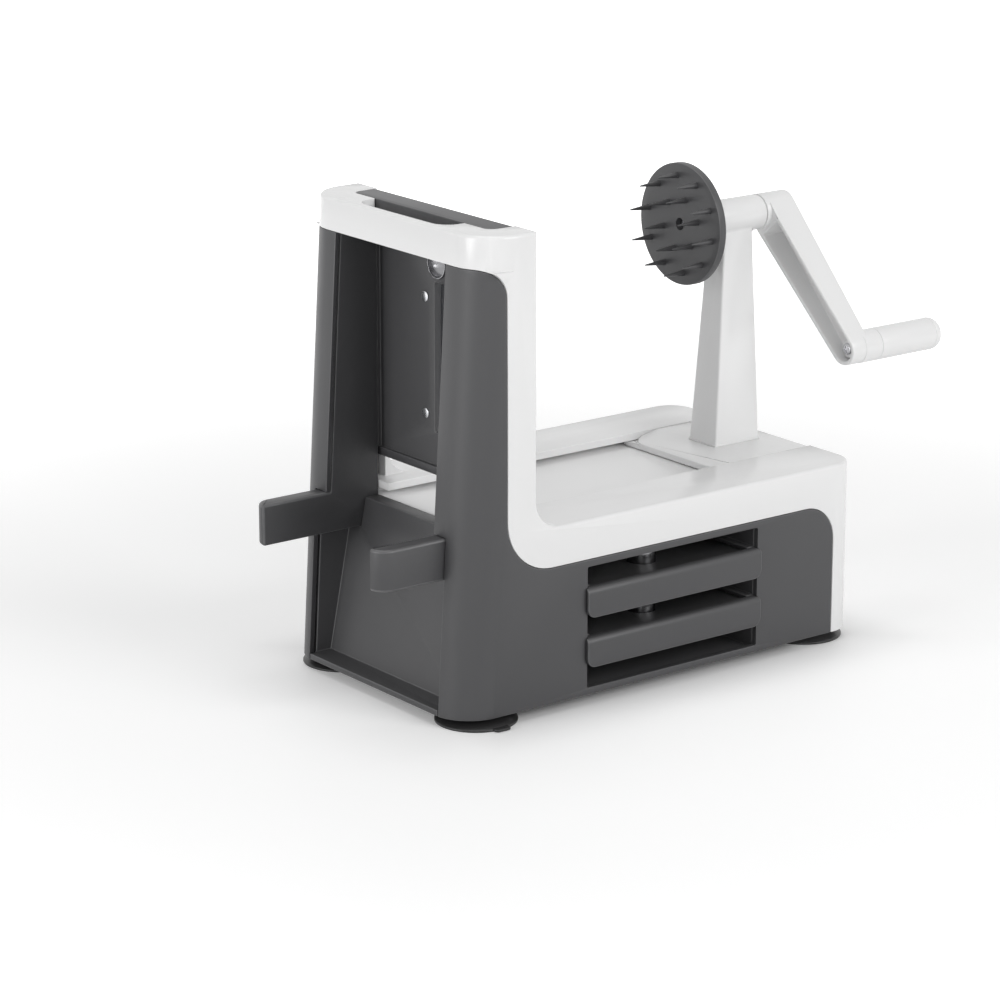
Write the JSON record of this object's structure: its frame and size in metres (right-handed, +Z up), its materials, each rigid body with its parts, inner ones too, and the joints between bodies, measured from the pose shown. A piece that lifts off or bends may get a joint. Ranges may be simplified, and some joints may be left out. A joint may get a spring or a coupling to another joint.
{
  "type": "hand cranked vegetable spiralizer",
  "caption": "Hand cranked spiralizer: blade tower with outlet guides, sliding crank carriage, toothed vegetable holder, suction feet and spare blade cartridges stored in the base.",
  "frame": {"origin": "on the table, under the middle of the whole length and width", "axes": "+X from the blade tower to the crank, +Y to the far side, away from the storage window, +Z up"},
  "size_m": [0.337, 0.1518, 0.2343],
  "materials": {
    "white_plastic": "smooth, softly glossy moulded plastic",
    "dark_plastic": "satin moulded plastic, dark grey",
    "black_rubber": "smooth rubber",
    "blade_steel": "ground stainless steel",
    "shaft_steel": "turned stainless steel",
    "screw_steel": "bright steel",
    "acetal": "off-white bearing plastic"
  },
  "bodies": {
    "housing": {"top_cover": "white_plastic", "near_side_shell": "dark_plastic", "far_side_shell": "dark_plastic", "chute_panel": "dark_plastic", "near_outlet_guide": "dark_plastic", "far_outlet_guide": "dark_plastic", "storage_rack": "dark_plastic", "front_near_suction_foot": "black_rubber", "front_far_suction_foot": "black_rubber", "rear_near_suction_foot": "black_rubber", "rear_far_suction_foot": "black_rubber", "side_screws": "screw_steel", "rack_screws": "screw_steel", "chute_screws": "screw_steel"},
    "carriage": {"carriage_slide": "white_plastic", "crank_post": "white_plastic", "post_screws": "screw_steel", "front_bush": "acetal", "rear_bush": "acetal"},
    "crank": {"drive_shaft": "shaft_steel", "vegetable_holder": "dark_plastic", "crank_arm": "white_plastic", "crank_screws": "screw_steel", "grip_axle": "shaft_steel"},
    "grip": {"grip_sleeve": "white_plastic", "grip_cap": "white_plastic"},
    "slicing_cartridge": {"slicing_frame": "dark_plastic", "slicing_blade": "blade_steel", "slicing_coring_ring": "blade_steel", "slicing_blade_rivets": "blade_steel"},
    "fine_cartridge": {"fine_shredding_frame": "dark_plastic", "fine_shredding_blade": "blade_steel", "fine_shredding_coring_ring": "blade_steel", "fine_shredding_blade_rivets": "blade_steel", "fine_shredding_comb": "blade_steel"},
    "coarse_cartridge": {"coarse_shredding_frame": "dark_plastic", "coarse_shredding_blade": "blade_steel", "coarse_shredding_coring_ring": "blade_steel", "coarse_shredding_blade_rivets": "blade_steel", "coarse_shredding_comb": "blade_steel"}
  },
  "joints": [
    {"name": "carriage_slide_joint", "type": "slide", "parent": "housing", "child": "carriage", "axis": [-1, 0, 0], "range_m": [0, 0.124]},
    {"name": "crank_turn", "type": "hinge", "parent": "carriage", "child": "crank", "pos_m": [0.0842, 0, 0.2043], "axis": [1, 0, 0], "continuous": true},
    {"name": "grip_turn", "type": "hinge", "parent": "crank", "child": "grip", "pos_m": [0.145, -0.05619, 0.14362], "axis": [1, 0, 0], "continuous": true},
    {"name": "slicing_cartridge_lift", "type": "slide", "parent": "housing", "child": "slicing_cartridge", "axis": [0, 0, 1], "range_m": [0, 0.135]},
    {"name": "fine_cartridge_pull", "type": "slide", "parent": "housing", "child": "fine_cartridge", "axis": [0, -1, 0], "range_m": [0, 0.138]},
    {"name": "coarse_cartridge_pull", "type": "slide", "parent": "housing", "child": "coarse_cartridge", "axis": [0, -1, 0], "range_m": [0, 0.138]}
  ]
}
